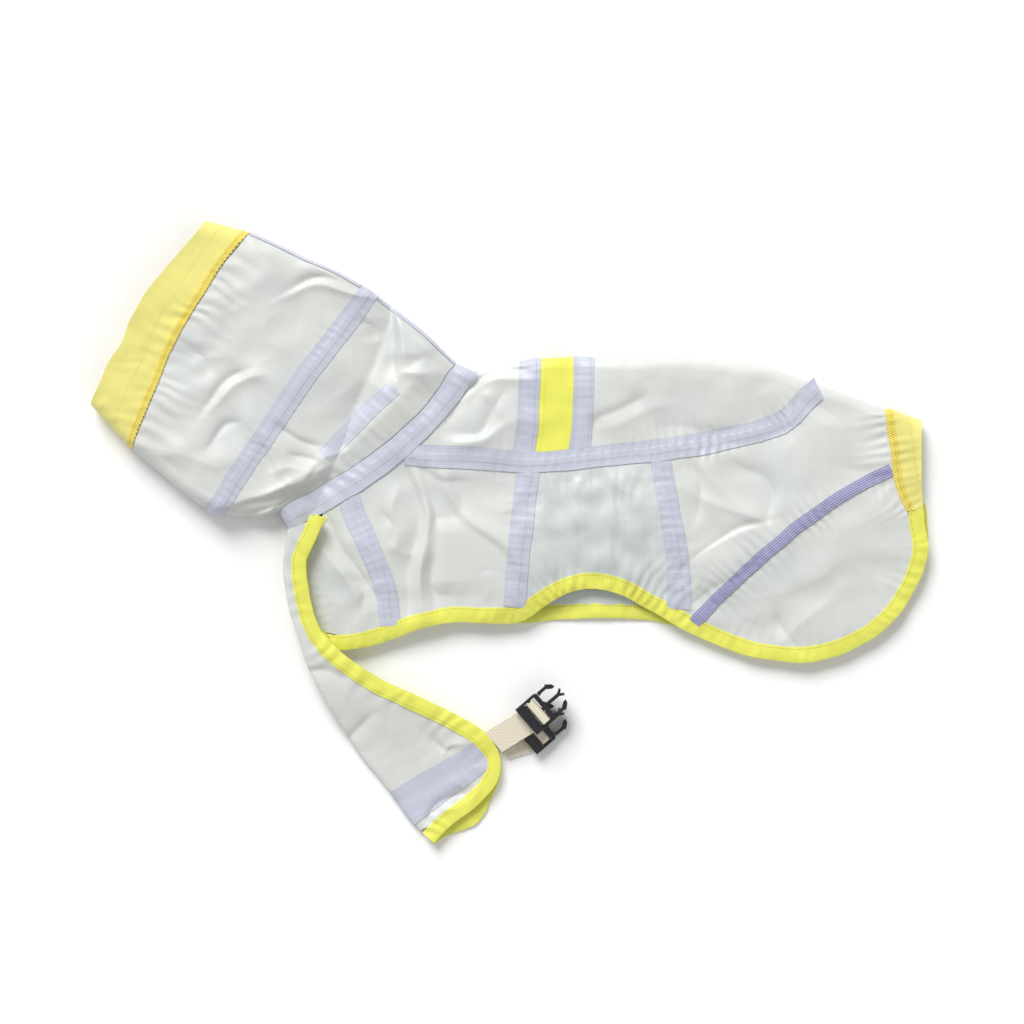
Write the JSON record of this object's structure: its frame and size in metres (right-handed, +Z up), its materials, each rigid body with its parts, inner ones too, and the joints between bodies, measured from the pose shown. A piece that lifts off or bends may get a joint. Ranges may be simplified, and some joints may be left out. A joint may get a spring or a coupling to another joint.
{
  "type": "dog raincoat",
  "caption": "Hooded waterproof dog coat lying folded flat on its side, inside out, with taped seams, bound hems, a chest bib and buckled belly straps.",
  "frame": {"origin": "centre of the lying coat's outline box, on the floor that it lies on", "axes": "+X from hood to tail, +Y towards the folded spine, +Z up from the floor"},
  "size_m": [0.7792, 0.5809, 0.033],
  "materials": {
    "cloth": "light grey-green coated cloth, inner face, faint satin sheen",
    "flank_cloth": "thinner grey-green ribbed cloth, slightly see-through",
    "seam_tape": "lavender heat-sealed seam tape, smooth and slightly shiny",
    "softshell": "pale yellow softshell with a matt brushed face",
    "overlock_thread": "deep yellow overlock stitching over a cut edge",
    "neon_binding": "neon yellow-green folded binding with one stitch line",
    "neon_stripe": "neon yellow-green reflective stripe, smooth",
    "elastic": "grey-purple ribbed flat elastic",
    "webbing": "cream woven webbing with tan cross lines",
    "plastic": "black moulded plastic, soft gloss"
  },
  "bodies": {
    "coat_body": {"back_yoke": "cloth", "cuff_overlock_edge": "overlock_thread", "elastic_far": "elastic", "elastic_near": "elastic", "flank_panel_far": "flank_cloth", "flank_panel_near": "flank_cloth", "flank_tape_front_far": "seam_tape", "flank_tape_front_near": "seam_tape", "flank_tape_rear_far": "seam_tape", "flank_tape_rear_near": "seam_tape", "front_side_panel_far": "cloth", "front_side_panel_near": "cloth", "hem_binding_far": "neon_binding", "hem_binding_near": "neon_binding", "neck_seam_tape": "seam_tape", "reflective_stripe": "neon_stripe", "rump_panel_far": "cloth", "rump_panel_near": "cloth", "saddle_panel": "cloth", "shoulder_panel_far": "cloth", "shoulder_panel_near": "cloth", "shoulder_tape_far": "seam_tape", "shoulder_tape_near": "seam_tape", "side_seam_tape_far": "seam_tape", "side_seam_tape_near": "seam_tape", "socket_far": "plastic", "socket_near": "plastic", "socket_tab_far": "webbing", "socket_tab_near": "webbing", "stripe_tape_front": "seam_tape", "stripe_tape_rear": "seam_tape", "tail_cuff": "cloth"},
    "hood": {"hem_band": "softshell", "hem_overlock_edge": "overlock_thread", "hood_front_panel": "cloth", "hood_rear_panel": "cloth", "hood_seam_tape": "seam_tape", "crown_tape_front": "seam_tape", "crown_tape_rear": "seam_tape", "dart_tape_near": "seam_tape", "dart_tape_far": "seam_tape"},
    "bib": {"chest_bib": "cloth", "bib_tape": "seam_tape", "bib_binding_near": "neon_binding", "bib_binding_far": "neon_binding"},
    "near_strap_body": {"near_strap": "webbing", "near_buckle": "plastic"},
    "far_strap_body": {"far_strap": "webbing", "far_buckle": "plastic"},
    "near_arm_left_body": {"near_arm_left": "plastic"},
    "near_arm_right_body": {"near_arm_right": "plastic"},
    "far_arm_left_body": {"far_arm_left": "plastic"},
    "far_arm_right_body": {"far_arm_right": "plastic"}
  },
  "joints": [
    {"name": "hood_fold", "type": "hinge", "parent": "coat_body", "child": "hood", "pos_m": [-0.1305, 0.09, 0.034], "axis": [0.7717, 0.636, 0], "range_deg": [0, 135]},
    {"name": "bib_swing", "type": "hinge", "parent": "coat_body", "child": "bib", "pos_m": [-0.191, 0.0145, 0.034], "axis": [0.87, 0.493, 0], "range_deg": [-110, 0]},
    {"name": "near_strap_swing", "type": "hinge", "parent": "bib", "child": "near_strap_body", "pos_m": [-0.01368, -0.19352, 0.01255], "axis": [0.6561, -0.7547, 0], "range_deg": [0, 150]},
    {"name": "far_strap_swing", "type": "hinge", "parent": "bib", "child": "far_strap_body", "pos_m": [-0.01368, -0.19352, 0.01255], "axis": [0.6561, -0.7547, 0], "range_deg": [0, 150]},
    {"name": "near_arm_left_squeeze", "type": "hinge", "parent": "near_strap_body", "child": "near_arm_left_body", "pos_m": [0.02397, -0.15184, 0.01925], "axis": [0, 0, -1], "range_deg": [0, 7], "stiffness_Nm_per_rad": 0.05},
    {"name": "near_arm_right_squeeze", "type": "hinge", "parent": "near_strap_body", "child": "near_arm_right_body", "pos_m": [0.03997, -0.17026, 0.01925], "axis": [0, 0, 1], "range_deg": [0, 7], "stiffness_Nm_per_rad": 0.05},
    {"name": "far_arm_left_squeeze", "type": "hinge", "parent": "far_strap_body", "child": "far_arm_left_body", "pos_m": [0.02397, -0.17084, 0.00625], "axis": [0, 0, -1], "range_deg": [0, 7], "stiffness_Nm_per_rad": 0.05},
    {"name": "far_arm_right_squeeze", "type": "hinge", "parent": "far_strap_body", "child": "far_arm_right_body", "pos_m": [0.03997, -0.18926, 0.00625], "axis": [0, 0, 1], "range_deg": [0, 7], "stiffness_Nm_per_rad": 0.05}
  ],
  "couplings": [
    {"joint": "far_strap_swing", "follows": "near_strap_swing", "ratio": 1},
    {"joint": "near_arm_right_squeeze", "follows": "near_arm_left_squeeze", "ratio": 1},
    {"joint": "far_arm_right_squeeze", "follows": "far_arm_left_squeeze", "ratio": 1}
  ]
}
